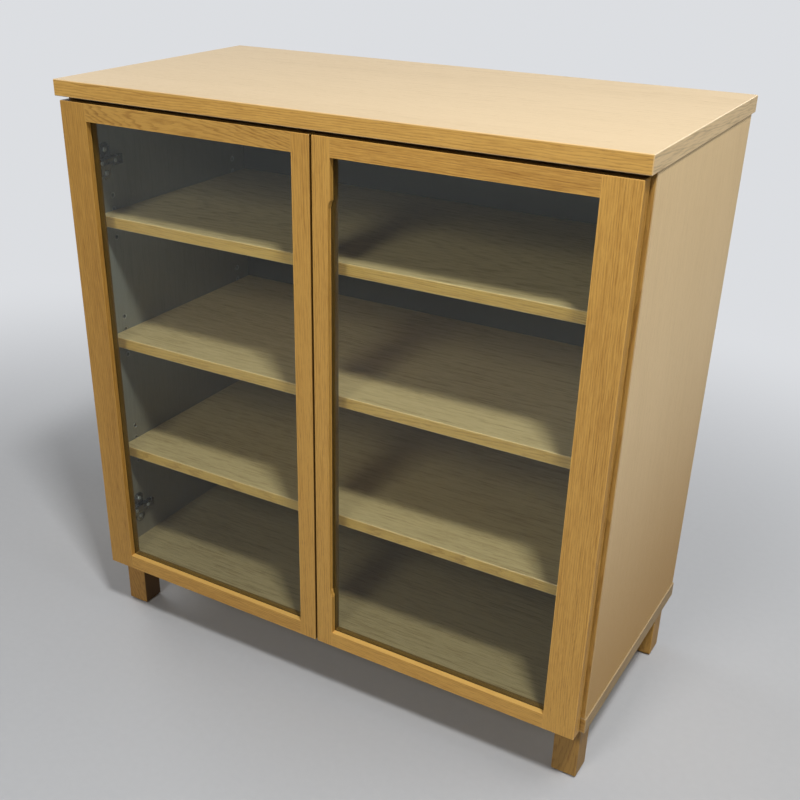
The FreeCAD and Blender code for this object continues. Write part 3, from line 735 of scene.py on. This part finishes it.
class CABINET_OT_legs(CabinetOperator, bpy.types.Operator):
    """Finish the four square legs"""

    bl_idname = "cabinet.legs"
    bl_label = "Legs"

    # The pith from the leg's middle, the tone, set per leg partly as painted light and shade, the
    # warmth and how strongly painted shade darkens the right face
    CUTS = {
        "front_left": ((0.03, 0.04), 0.76, 1.25, 0.9),
        "front_right": ((-0.024, 0.05), 0.58, 1.05, 0.0),
        "rear_left": ((0.04, -0.03), 0.65, 1.05, 0.0),
        "rear_right": ((0.02, 0.03), 0.78, 1.05, 0.0),
    }

    def build(self, scene):
        for place, (name, (aside, tone, warmth, right_face_shade)) in enumerate(self.CUTS.items()):
            node = "leg_" + name
            low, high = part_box(node)
            middle = (low + high) / 2
            grain = Grain("ZXY", (middle.x + aside[0], middle.y + aside[1]), (0.1, 0.14), 2 * MM,
                          47.0 + 3.7 * place, 0.75, tone, warmth)
            give(node, solid_oak(scene.cabinet_wood, grain, node, right_face_shade=right_face_shade))


class CABINET_OT_door_frames(CabinetOperator, bpy.types.Operator):
    """Finish the stiles and rails of both doors"""

    bl_idname = "cabinet.door_frames"
    bl_label = "Door frames"

    # The values of each piece's grain
    CUTS = {
        "left_outer_stile": ("ZXY", (-0.66, 0.05), (0.02, 0.0), 3 * MM, 61.0, 0.45, 0.86, 1.08),
        "left_meeting_stile": ("ZXY", (-0.3, 0.1), (0.03, 0.0), 2 * MM, 64.0, 0.5, 0.95, 1.02),
        "left_top_rail": ("XZY", (0.72, -0.165), (0.28, 0.1), 4 * MM, 67.0, 0.9, 0.9, 0.95),
        "left_bottom_rail": ("XZY", (0.3, -0.1), (0.02, 0.0), 2 * MM, 70.0, 0.55, 0.98),
        "right_outer_stile": ("ZXY", (0.08, -0.1), (0.015, 0.0), 2.5 * MM, 73.0, 0.6, 1.03),
        "right_meeting_stile": ("ZXY", (0.3, 0.0), (0.02, 0.0), 2 * MM, 76.0, 0.5, 0.98),
        "right_top_rail": ("XZY", (0.5, -0.1), (0.03, 0.02), 3 * MM, 79.0, 0.6),
        "right_bottom_rail": ("XZY", (0.36, -0.15), (0.03, 0.0), 2 * MM, 82.0, 0.55, 1.02),
    }

    def build(self, scene):
        for name, cut in self.CUTS.items():
            node = "door_" + name
            seam = -SIDES[name.split("_")[0]] if "meeting" in name else 0
            give(node, solid_oak(scene.cabinet_wood, Grain(*cut), node, seam))


class CABINET_OT_glazing(CabinetOperator, bpy.types.Operator):
    """Finish the two panes and the beads that hold them"""

    bl_idname = "cabinet.glazing"
    bl_label = "Panes and beads"

    def build(self, scene):
        for side in SIDES:
            pane = "door_" + side + "_glass"
            give(pane, self.clear_glass("Clear glass " + side, scene.cabinet_glass))
            beads = "door_" + side + "_glass_beads"
            give(beads, self.bead_oak("Bead oak " + side, scene.cabinet_wood, beads))

    def clear_glass(self, name, glass):
        """Clear glass with greener edges that lets the lamps' light through."""
        finish = Finish(name)
        edge = abs(finish.facing()[1]).rise(0.6, 0.4)
        colour = finish.blend(edge, glass.tint, toned(glass.tint, 0.8))
        smear = finish.noise(finish.spot(), (3.0, 3.0, 5.0), detail=3.0).rise(0.5, 0.8)
        pane = finish.add("ShaderNodeBsdfPrincipled", values={
            "Base Color": colour, "Roughness": smear * 0.012, "IOR": glass.index,
            "Transmission Weight": 1.0})
        through = tuple(math.sqrt(part) for part in glass.tint)
        clear = finish.add("ShaderNodeBsdfTransparent", values={"Color": through})
        unseen = finish.ray("Is Shadow Ray", "Is Diffuse Ray")
        return finish.surface(finish.mix(unseen, pane, clear))

    def bead_oak(self, name, wood, node):
        """Oak whose grain follows each of the four mitred beads."""
        finish = Finish(name)
        across, _, up = box_distances(finish, node)
        on_rail = (across - up).rise(-0.1 * MM, 0.1 * MM)
        spot = finish.choose(on_rail, along_grain(finish, "ZXY"), along_grain(finish, "XZY"))
        oak = figure(finish, wood, spot, Grain("ZXY", (0.2, 0.2), (0.03, 0.0), 2 * MM, 91.0, 0.5))
        # Painted shade: the beads are toned very dark, as the shade they sit in behind the glass
        dark = 0.2
        depth = oak.depth(early=0.5, streaks=0.9, fibres=0.0, drift=0.6)
        colour = two_toned(finish, depth, wood.frame_pale, wood.frame_deep, dark)
        colour = finish.blend(oak.pores * wood.pore_share, colour, toned(wood.pore, dark))
        mitre = abs(across - up).rise(0.35 * MM, 0.1 * MM) * 0.6
        colour = finish.blend(mitre, colour, wood.pore)
        return wood_surface(finish, wood, colour, oak, mitre)


class CABINET_OT_pegs(CabinetOperator, bpy.types.Operator):
    """Finish the hidden pegs of the carcass and of the door frames"""

    bl_idname = "cabinet.pegs"
    bl_label = "Pegs"

    def build(self, scene):
        give("carcass_dowels", self.beech("Raw beech, upright", scene.cabinet_wood, "ZXY"))
        lying = self.beech("Raw beech, lying", scene.cabinet_wood, "XZY")
        for side in SIDES:
            give("door_" + side + "_frame_dowels", lying)

    def beech(self, name, wood, axes):
        finish = Finish(name)
        spot = along_grain(finish, axes)
        fleck = finish.noise(spot, (160.0, 900.0, 900.0), detail=1.0).rise(0.58, 0.68)
        streaks = finish.noise(spot, (8.0, 400.0, 400.0), detail=3.0)
        colour = finish.blend(streaks * 0.7, wood.beech, toned(wood.beech, 0.8))
        colour = finish.blend(fleck * 0.5, colour, toned(wood.beech, 0.6))
        return finish.principled({"Base Color": colour, "Roughness": streaks * 0.2 + 0.55,
                                  "Normal": finish.bump(streaks - fleck * 0.3, 0.1 * MM, 0.4)})


# Metal, rubber and plastic
def metal(name, colour, roughness, grain_scale):
    """Plated or turned metal with faint marks, made once."""
    if name in bpy.data.materials:
        return bpy.data.materials[name]
    finish = Finish(name)
    spot = finish.spot()
    marks = finish.noise(spot, grain_scale, detail=3.0, roughness=0.6)
    grime = finish.noise(spot, (140.0, 140.0, 140.0), (3.0, 1.0, 2.0), 2.0).rise(0.45, 0.75)
    shade = finish.blend(marks * 0.5 + grime * 0.35, colour, toned(colour, 0.62))
    return finish.principled({
        "Base Color": shade, "Metallic": 1.0,
        "Roughness": marks * 0.14 + grime * 0.16 + (roughness - 0.07),
        "Normal": finish.bump(marks, 0.03 * MM, 0.35)})


def nickel(hardware):
    return metal("Nickel plate", hardware.nickel, 0.2, grain_scale=(900.0, 250.0, 900.0))


def steel(hardware):
    return metal("Turned steel", hardware.steel, 0.36, grain_scale=(1500.0, 1500.0, 1500.0))


def moulded(name, colour, roughness, grain_size):
    """Soft rubber or moulded plastic with a fine grain."""
    finish = Finish(name)
    spot = finish.spot()
    grain = finish.noise(spot, (1 / grain_size,) * 3, detail=2.0)
    dust = finish.noise(spot, (160.0, 160.0, 160.0), (1.0, 5.0, 2.0), 3.0).rise(0.5, 0.8)
    shade = finish.blend(dust * 0.4, colour, toned(colour, 1.35))
    return finish.principled({"Base Color": shade,
                              "Roughness": grain * 0.2 + dust * 0.15 + (roughness - 0.1),
                              "Normal": finish.bump(grain, 0.05 * MM, 0.3)})


class CABINET_OT_shelf_pins(CabinetOperator, bpy.types.Operator):
    """Turn the twelve shelf pins and set them in their sleeves"""

    bl_idname = "cabinet.shelf_pins"
    bl_label = "Shelf pins"

    def build(self, scene):
        hardware = scene.cabinet_hardware
        head, length, peg, end = 4.0, 7.0, 2.05, 15.0
        profile = ((0, 0), (head - 0.9, 0), (head - 0.35, -0.15), (head, -0.7), (head, -4.6),
                   (head - 0.5, -5), (head - 0.5, -5.7), (head, -6.1), (head, -length + 0.2),
                   (head - 0.2, -length), (peg, -length), (peg, -end + 0.5), (peg - 0.5, -end),
                   (0, -end))
        pin = to_object(turned(profile, sides=32), "pin")
        set_out("shelf_pin_set", pin, "shelf_pins", None, steel(hardware), hardware.seed, CARCASS,
                "pin_steel")
        discard(pin)


class CABINET_OT_pin_sleeves(CabinetOperator, bpy.types.Operator):
    """Press the flanged sleeves into the side panels"""

    bl_idname = "cabinet.pin_sleeves"
    bl_label = "Pin sleeves"

    def build(self, scene):
        hardware = scene.cabinet_hardware
        flange, outer, bore, end = hardware.flange_radius / MM, 3.05, 2.5, 9.2
        profile = ((bore, -0.35), (bore + 0.2, -0.08), (bore + 0.55, 0), (flange - 0.5, 0),
                   (flange - 0.12, -0.12), (flange, -0.38), (outer, -0.4), (outer, -end),
                   (bore, -end), (bore, -0.35))
        tube = turned(profile, sides=28)
        # The last ring is the first one
        bmesh.ops.remove_doubles(tube, verts=tube.verts, dist=0.001 * MM)
        sleeve = to_object(tube, "sleeve")
        for side in SIDES:
            set_out("pin_sleeve_set_" + side, sleeve, "pin_sleeves_" + side, None, steel(hardware),
                    hardware.seed, CARCASS, "pin_steel")
        discard(sleeve)


class CABINET_OT_screws(CabinetOperator, bpy.types.Operator):
    """Cut the cross-recessed screws of the hinges and drive them in"""

    bl_idname = "cabinet.screws"
    bl_label = "Hinge screws"

    # Radius and height of the head, radius of the shank and whole length, in millimetres
    SIZES = {
        "hinge_plate_screws": (3.6, 1.5, 1.75, 14.5),
        "hinge_arm_screws": (3.1, 1.2, 1.55, 4.8),
        "door_left_hinge_cup_screws": (3.2, 1.1, 1.35, 12.1),
        "door_right_hinge_cup_screws": (3.2, 1.1, 1.35, 12.1),
    }

    def build(self, scene):
        hardware = scene.cabinet_hardware
        for place, (node, size) in enumerate(self.SIZES.items()):
            screw = self.screw(hardware.recess_share, *size)
            facing, body = None, CARCASS
            if node.startswith("door"):
                facing, body = (0, 1, 0), node.split("_hinge")[0]
            set_out(node + "_set", screw, node, facing, steel(hardware), hardware.seed + place,
                    body, "pin_steel")
            discard(screw)

    def screw(self, recess_share, radius, head, shank, length):
        """A pan head with a cross recess on a plain shank, its top at the origin."""
        profile = [(0, 0), (radius * 0.45, -head * 0.02), (radius * 0.72, -head * 0.12),
                   (radius * 0.9, -head * 0.34), (radius, -head * 0.66), (radius, -head * 0.9),
                   (radius * 0.96, -head), (shank, -head), (shank, -length + shank), (0, -length)]
        body = to_object(turned(profile, sides=36), "screw")
        blades = bmesh.new()
        half = radius * recess_share / 2 * MM
        reach = radius * 0.56 * MM
        above, below = head * 0.3 * MM, -head * 0.8 * MM
        for long_x, long_y in ((reach, half), (half, reach)):
            corners = ((-long_x, -long_y), (long_x, -long_y), (long_x, long_y), (-long_x, long_y))
            top = [blades.verts.new((x, y, above)) for x, y in corners]
            low = [blades.verts.new((x * 0.5, y * 0.5, below)) for x, y in corners]
            blades.faces.new(top)
            blades.faces.new(low[::-1])
            skin(blades, [top, low])
        cutter = to_object(blades, "cross")
        cut = body.modifiers.new("Recess", "BOOLEAN")
        cut.operation = "DIFFERENCE"
        cut.solver = "EXACT"
        cut.use_self = True
        cut.object = cutter
        settle(body)
        discard(cutter)
        return body


class CABINET_OT_hinge_cups(CabinetOperator, bpy.types.Operator):
    """Press the hinge cups with their rims, screw wings and lugs"""

    bl_idname = "cabinet.hinge_cups"
    bl_label = "Hinge cups"

    SIDES_ROUND = 96
    SEARCH_STEPS = 240

    def build(self, scene):
        finish = nickel(scene.cabinet_hardware)
        for side, sign in SIDES.items():
            pins = "door_" + side + "_hinge_pins"
            give(pins, steel(scene.cabinet_hardware))
            places = sorted(((low + high) / 2 for low, high in loose_solids(pins)),
                            key=lambda place: place.z)
            for level, place in zip(("lower", "upper"), places):
                node = "door_" + side + "_hinge_cup_" + level
                cup = self.cup(node + "_pressed", node, sign, place)
                cup.data.materials.append(finish)
                seat(cup, "door_" + side, "hinge_steel", node)

    def cup(self, name, node, sign, pin):
        """One cup, made in millimetres on its own axes: X from the door's outer edge inwards, Y
        up, Z to the back."""
        low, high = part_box(node)
        bowl, rim = 12.9, 1.2
        inner = bowl - 0.6
        outer_edge = low.x if sign < 0 else high.x
        middle = Vector((outer_edge - sign * bowl * MM, high.y - rim * MM, (low.z + high.z) / 2))
        floor = (low.y - middle.y) / MM
        hollow = [(0, floor + 0.7), (inner - 2, floor + 0.7), (inner - 0.6, floor + 1.2),
                  (inner, floor + 2.6), (inner, 0.7), (inner + 0.15, 1.1), (bowl - 0.1, rim),
                  (bowl + 0.25, rim - 0.12), (bowl + 0.4, rim - 0.4)]
        plate = [(-0.45, rim - 0.42), (-0.1, rim - 0.55), (0, rim - 0.8), (0, 0)]
        under = [(bowl, 0), (bowl, floor + 1.8), (bowl - 0.5, floor + 0.5), (bowl - 1.8, floor),
                 (0, floor)]
        count = self.SIDES_ROUND
        outline = [self.plate_reach(2 * math.pi * step / count, bowl + 0.8)
                   for step in range(count)]
        shape = bmesh.new()
        rings = [ring(shape, [reach] * count, height) for reach, height in hollow]
        rings += [ring(shape, [reach + inset for reach in outline], height)
                  for inset, height in plate]
        rings += [ring(shape, [reach] * count, height) for reach, height in under]
        skin(shape, rings)
        axis = Vector((-abs(pin.x - middle.x), pin.z - middle.z, pin.y - middle.y)) / MM
        for way in (-1, 1):
            self.lug(shape, axis, way, floor + 0.5, bowl - 0.3)
        for vertex in shape.verts:
            inward, up, back = vertex.co
            vertex.co = middle + Vector((-sign * inward, back, up)) * MM
        return to_object(shape, name, sharp_angle=40)

    def plate_reach(self, turn, least):
        """How far the plate with the screws' wings reaches at an angle, at least past the rim."""
        near, far, top, corner = -3.4, 13.3, 23.8, 4.5
        middle = (near + far) / 2
        half = (far - near) / 2
        reach = least
        for step in range(self.SEARCH_STEPS):
            distance = least + (top * 1.2 - least) * step / self.SEARCH_STEPS
            x = abs(distance * math.cos(turn) - middle) - (half - corner)
            y = abs(distance * math.sin(turn)) - (top - corner)
            if math.hypot(max(x, 0), max(y, 0)) + min(max(x, y), 0) <= corner:
                reach = max(reach, distance)
        return reach

    def lug(self, shape, axis, way, floor, inside):
        """A lug that holds one end of the pin, rounded over it."""
        near, far, crown = 3.9, 7.2, 2.2
        rings = []
        for height in (axis.y + way * near, axis.y + way * far):
            outer = -math.sqrt(inside ** 2 - height ** 2)
            line = [(outer, floor), (axis.x + crown, floor)]
            line += [(axis.x + crown * math.cos(turn), axis.z + crown * math.sin(turn))
                     for turn in quarter_turn(8)]
            line.append((outer, axis.z + crown * 0.9))
            rings.append([shape.verts.new((max(x, outer), height, z)) for x, z in line])
        shape.faces.new(rings[0])
        shape.faces.new(rings[1][::-1])
        skin(shape, rings)


class CABINET_OT_hinge_arms(CabinetOperator, bpy.types.Operator):
    """Press the hinge arms and their mounting plates with soft edges"""

    bl_idname = "cabinet.hinge_arms"
    bl_label = "Hinge arms and plates"

    def build(self, scene):
        hardware = scene.cabinet_hardware
        for side, level, part in itertools.product(SIDES, ("upper", "lower"), ("arm", "plate")):
            node = "_".join(("hinge", part, side, level))
            piece = self.softened(node, hardware.softening)
            piece.data.materials.clear()
            piece.data.materials.append(nickel(hardware))
            seat(piece, CARCASS, "hinge_steel", node)

    def softened(self, node, radius):
        """A copy of a part of the frame with merged faces and rounded edges."""
        shape = bmesh.new()
        shape.from_mesh(NODES[node].data)
        bmesh.ops.remove_doubles(shape, verts=shape.verts, dist=0.005 * MM)
        bmesh.ops.dissolve_limit(shape, angle_limit=math.radians(2), verts=shape.verts,
                                 edges=shape.edges)
        piece = to_object(shape, node + "_pressed")
        bevel = piece.modifiers.new("Pressed edges", "BEVEL")
        bevel.width = radius
        bevel.segments = 2
        bevel.limit_method = "ANGLE"
        bevel.angle_limit = math.radians(40)
        settle(piece)
        piece.data.shade_smooth()
        piece.data.set_sharp_from_angle(angle=math.radians(35))
        return piece


class CABINET_OT_bumpers(CabinetOperator, bpy.types.Operator):
    """Stick the soft domed bumpers behind the bottom rails"""

    bl_idname = "cabinet.bumpers"
    bl_label = "Door bumpers"

    def build(self, scene):
        hardware = scene.cabinet_hardware
        radius, height = 4.0, 1.7
        dome = height * 0.85
        profile = [(radius * math.sin(turn), -dome * (1 - math.cos(turn)))
                   for turn in quarter_turn(7)]
        profile += [(radius, -height), (0, -height)]
        dot = to_object(turned(profile, sides=32), "dot", sharp_angle=50)
        finish = moulded("Clear rubber", hardware.bumper, roughness=0.35, grain_size=0.9 * MM)
        for side in SIDES:
            node = "door_" + side + "_bumpers"
            set_out(node + "_set", dot, node, (0, 1, 0), finish, hardware.seed, "door_" + side,
                    "clear_rubber")
        discard(dot)


class CABINET_OT_feet(CabinetOperator, bpy.types.Operator):
    """Nail the glides under the legs and finish the leg bolts"""

    bl_idname = "cabinet.feet"
    bl_label = "Glides and leg bolts"

    def build(self, scene):
        hardware = scene.cabinet_hardware
        radius, thick, nail, end = 11.0, 2.0, 1.05, 16.0
        profile = ((0, 0), (radius - 2.2, 0), (radius - 1, -0.15), (radius - 0.3, -0.6),
                   (radius, -1.3), (radius, -thick), (nail, -thick), (nail, -end + 2), (0, -end))
        glide = to_object(turned(profile, sides=40), "glide")
        finish = moulded("Moulded plastic", hardware.glide, roughness=0.55, grain_size=0.5 * MM)
        set_out("glide_set", glide, "foot_glides", (0, 0, -1), finish, hardware.seed, CARCASS,
                "glide_plastic")
        discard(glide)
        give("leg_bolts", steel(hardware))


class CABINET_OT_stage(CabinetOperator, bpy.types.Operator):
    """Set out the floor, the background, the lamps and the camera"""

    bl_idname = "cabinet.stage"
    bl_label = "Stage"

    # Where each lamp is, what it is aimed at, and its width and height
    LAMPS = {
        "Key": ((1.1, -1.1, 2.95), (0.0, -0.15, 0.6), (0.34, 0.34)),
        "Ceiling": ((0.2, 0.2, 3.0), (0.2, 0.2, 0.0), (2.8, 2.2)),
        "Side": ((1.4, 0.1, 2.5), (0.3, 0.0, 0.6), (1.1, 1.1)),
        "Front": ((0.05, -2.3, 1.92), (0.05, 0.0, 2.4), (0.6, 1.0)),
        "Left": ((-2.3, 0.6, 1.8), (0.0, 0.0, 0.4), (1.2, 1.2)),
        "Rear": ((1.2, 2.4, 1.4), (0.0, 0.0, 0.4), (1.0, 1.0)),
    }
    CAMERA_PLACE = (0.71215, -1.25256, 1.05947)
    CAMERA_ANGLES = (62.3723, -0.4564, 31.5195)
    CAMERA_SHIFT = (0.049, 0.0666)
    FLOOR_REACH = 14.0
    # Distances from a spot in front of the cabinet between which the floor fades, and how far
    # in front that spot is
    FLOOR_FADE = (1.25, 2.5)
    FADE_AHEAD = 0.9
    # Places along Y between which the mirrored floor gets dimmer
    VIEWER_SHADE = (-1.3, -0.7)

    def build(self, scene):
        stage = scene.cabinet_stage
        self.floor(stage)
        self.background(scene, stage)
        for name, shape in self.LAMPS.items():
            self.lamp(name, *shape, getattr(stage, name.lower() + "_power"))
        self.camera(scene, stage)
        scene.view_settings.view_transform = "Standard"

    def floor(self, stage):
        """A large floor that fades into the background far from the cabinet. In front of it the
        floor's reflection in the panes is dimmer, as in a viewer's shade."""
        reach = self.FLOOR_REACH
        corners = [(-reach, -reach, 0), (reach, -reach, 0), (reach, reach, 0), (-reach, reach, 0)]
        mesh = bpy.data.meshes.new("floor")
        mesh.from_pydata(corners, [], [(0, 1, 2, 3)])
        ground = in_scene("floor", mesh)
        finish = Finish("Plain floor")
        spot = finish.spot()
        x, y, _ = finish.parts(spot)
        speckle = finish.noise(spot, (90.0, 90.0, 90.0), detail=3.0)
        colour = finish.blend(speckle, toned(stage.floor, 0.97), toned(stage.floor, 1.03))
        mirrored = finish.ray("Is Glossy Ray") * y.rise(*self.VIEWER_SHADE) * 0.8
        colour = finish.blend(mirrored, colour, toned(stage.floor, 0.3))
        near = finish.add("ShaderNodeBsdfPrincipled",
                          values={"Base Color": colour, "Roughness": 0.7})
        far = finish.add("ShaderNodeEmission", values={"Color": stage.background, "Strength": 1.0})
        ahead = y + self.FADE_AHEAD
        distance = (x * x + ahead * ahead) ** 0.5
        seen = finish.ray("Is Camera Ray", "Is Transmission Ray")
        fade = distance.rise(*self.FLOOR_FADE) * seen
        mesh.materials.append(finish.surface(finish.mix(fade, near, far)))

    def background(self, scene, stage):
        """An even light from all round, and a pale background where it is seen or mirrored."""
        finish = Finish("Background", bpy.data.worlds.new("Background"))
        shown = finish.ray("Is Camera Ray", "Is Transmission Ray", "Is Glossy Ray")
        light = finish.add("ShaderNodeBackground",
                           values={"Color": (0.97, 0.985, 1.0), "Strength": stage.ambient})
        behind = finish.add("ShaderNodeBackground", values={"Color": stage.background})
        scene.world = finish.surface(finish.mix(shown, light, behind))

    def lamp(self, name, place, aim, size, power):
        data = bpy.data.lights.new(name, "AREA")
        data.shape = "RECTANGLE"
        data.size, data.size_y = size
        data.energy = power
        lamp = in_scene(name, data)
        lamp.location = place
        lamp.rotation_euler = (Vector(aim) - Vector(place)).to_track_quat("-Z", "Y").to_euler()

    def camera(self, scene, stage):
        data = bpy.data.cameras.new("Camera")
        data.lens = stage.lens
        data.sensor_width = 36.0
        data.shift_x, data.shift_y = self.CAMERA_SHIFT
        camera = in_scene("Camera", data)
        camera.location = self.CAMERA_PLACE
        camera.rotation_euler = Euler(map(math.radians, self.CAMERA_ANGLES))
        scene.camera = camera


class CABINET_PT_panel(bpy.types.Panel):
    """The cabinet's steps and settings in the sidebar"""

    bl_idname = "CABINET_PT_panel"
    bl_label = "Glass-front cabinet"
    bl_space_type = "VIEW_3D"
    bl_region_type = "UI"
    bl_category = "Cabinet"

    def draw(self, context):
        layout = self.layout
        for step in OPERATORS:
            layout.operator(step.bl_idname)
        for name in SETTINGS:
            group = getattr(context.scene, name)
            box = layout.box()
            for setting in group.__annotations__:
                box.prop(group, setting)


SETTINGS = {"cabinet_wood": CabinetWoodSettings, "cabinet_glass": CabinetGlassSettings,
            "cabinet_hardware": CabinetHardwareSettings, "cabinet_stage": CabinetStageSettings}
OPERATORS = (
    CABINET_OT_boards, CABINET_OT_side_panels, CABINET_OT_back_panel, CABINET_OT_shelves,
    CABINET_OT_legs, CABINET_OT_door_frames, CABINET_OT_glazing, CABINET_OT_pegs,
    CABINET_OT_shelf_pins, CABINET_OT_pin_sleeves, CABINET_OT_screws, CABINET_OT_hinge_cups,
    CABINET_OT_hinge_arms, CABINET_OT_bumpers, CABINET_OT_feet, CABINET_OT_stage,
)


def register():
    for group in (*SETTINGS.values(), *OPERATORS, CABINET_PT_panel):
        bpy.utils.register_class(group)
    for name, group in SETTINGS.items():
        setattr(bpy.types.Scene, name, PointerProperty(type=group))


def unregister():
    for name in SETTINGS:
        delattr(bpy.types.Scene, name)
    for group in (CABINET_PT_panel, *reversed(OPERATORS), *reversed(SETTINGS.values())):
        bpy.utils.unregister_class(group)


def main():
    register()
    for step in OPERATORS:
        family, name = step.bl_idname.split(".")
        getattr(getattr(bpy.ops, family), name)()


if __name__ == "__main__":
    main()
